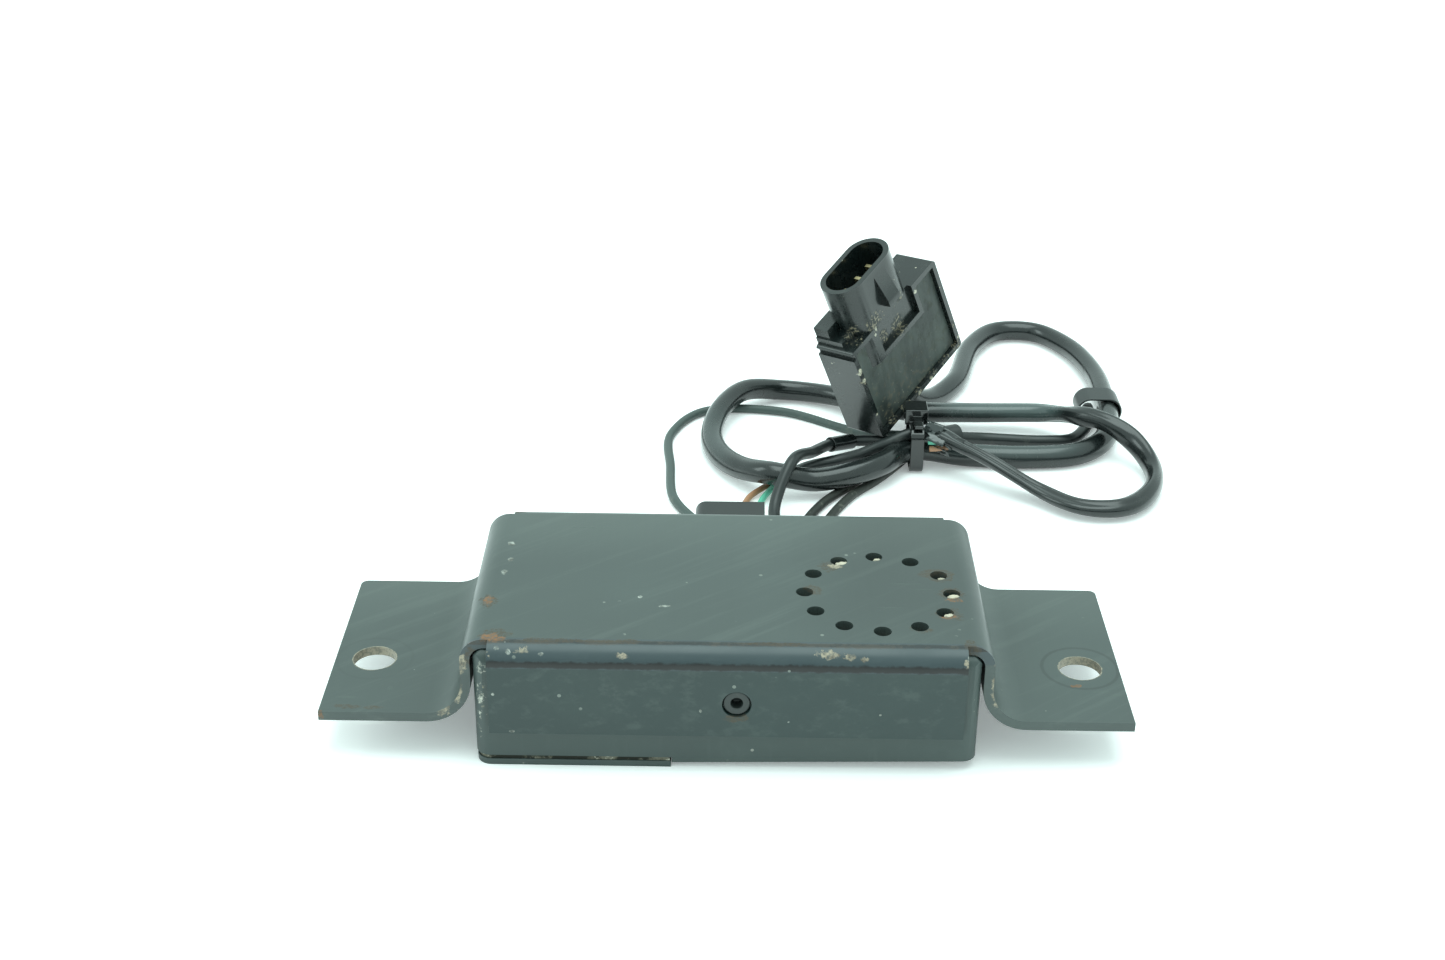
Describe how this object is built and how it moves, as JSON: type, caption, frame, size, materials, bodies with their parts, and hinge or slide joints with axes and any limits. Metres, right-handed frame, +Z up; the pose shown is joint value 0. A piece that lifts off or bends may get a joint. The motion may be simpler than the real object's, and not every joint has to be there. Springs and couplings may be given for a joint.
{
  "type": "motion sensor",
  "caption": "Vehicle alarm motion and shock sensor: an electronics box riveted in a steel hat bracket, with wiring to a potted connector block.",
  "frame": {"origin": "middle of the underside of the bracket and box, which stands on its bottom cover", "axes": "+X along the bracket from ear to ear, towards the ear beside the vent ring; +Y towards the plug and the wires; +Z up, out of the bracket top"},
  "size_m": [0.196, 0.2284, 0.0577],
  "materials": {
    "block_plastic": "black moulded block, satin gloss",
    "board_green": "green solder mask",
    "box_plastic": "black moulded box, semi-matte",
    "bracket_paint": "satin black paint over pressed steel, scuffed to grey and cream at the corners",
    "brass_disc": "piezo disc",
    "cable_black": "glossy black sleeve",
    "capacitor_blue": "sleeved can",
    "chip_black": "moulded chip",
    "coil_copper": "enamelled copper winding",
    "connector_black": "moulded connector",
    "contact_gold": "plated contact",
    "core_green": "pale green insulation",
    "core_orange": "orange-brown insulation",
    "cover_plastic": "black moulded cover, semi-matte",
    "grommet_rubber": "black rubber",
    "lead_black": "black jacket",
    "mesh_pale": "woven dust mesh",
    "part_tan": "small ceramic parts",
    "plated_steel": "zinc plated",
    "potting_grey": "grey-green potting, dusty",
    "rivet_black": "hollow drive rivet, black",
    "rotor_cream": "slotted rotor",
    "seal_foam": "grey foam seal",
    "socket_seal": "soft seal",
    "sounder_black": "moulded sounder case",
    "spring_steel": "rolled spring strip",
    "tape_black": "wrinkled tape",
    "tie_nylon": "black nylon",
    "trimmer_blue": "moulded trimmer",
    "weight_steel": "ground steel weight",
    "wire_brown": "wire insulation",
    "wire_dusty": "dusty black insulation",
    "wire_grey": "dark grey insulation"
  },
  "bodies": {
    "sensor": {"bracket": "bracket_paint", "bracket_rivets": "rivet_black", "box_shell": "box_plastic", "box_cover": "cover_plastic", "cover_seal": "seal_foam", "cover_screws": "plated_steel", "circuit_board": "board_green", "board_screws": "plated_steel", "controller_chips": "chip_black", "capacitors": "capacitor_blue", "driver_transistor": "chip_black", "small_parts": "part_tan", "sounder_case": "sounder_black", "sounder_disc": "brass_disc", "vent_mesh": "mesh_pale", "sounder_gasket": "grommet_rubber", "motion_base": "chip_black", "spring_clamp": "plated_steel", "clamp_screw": "plated_steel", "leaf_root": "spring_steel", "pickup_coil": "coil_copper", "trimmer_body": "trimmer_blue", "header_shell": "connector_black", "header_pins": "contact_gold", "rear_plug": "connector_black", "wire_grommet": "grommet_rubber", "board_leads": "wire_brown", "block_shell": "block_plastic", "block_potting": "potting_grey", "socket_pins": "contact_gold", "socket_seal": "socket_seal", "cable_boot": "grommet_rubber", "main_cable": "cable_black", "signal_lead": "lead_black", "sounder_lead": "lead_black", "shrink_boot": "cable_black", "grey_wire": "wire_grey", "supply_wire": "wire_dusty", "ground_wire": "wire_dusty", "orange_core": "core_orange", "green_core": "core_green", "branch_lead": "wire_grey", "splice_wrap": "tape_black", "cable_tie": "tie_nylon", "tape_band": "tape_black"},
    "pendulum": {"leaf_spring": "spring_steel", "pendulum_weight": "weight_steel"},
    "sensitivity_rotor": {"trimmer_rotor": "rotor_cream"}
  },
  "joints": [
    {"name": "pendulum_flex", "type": "hinge", "parent": "sensor", "child": "pendulum", "pos_m": [-0.031, 0.006, 0.01635], "axis": [0, 1, 0], "range_deg": [-5, 5], "stiffness_Nm_per_rad": 0.05},
    {"name": "sensitivity_turn", "type": "hinge", "parent": "sensor", "child": "sensitivity_rotor", "pos_m": [-0.036, -0.005, 0.0138], "axis": [0, 0, 1], "range_deg": [-135, 135]}
  ]
}
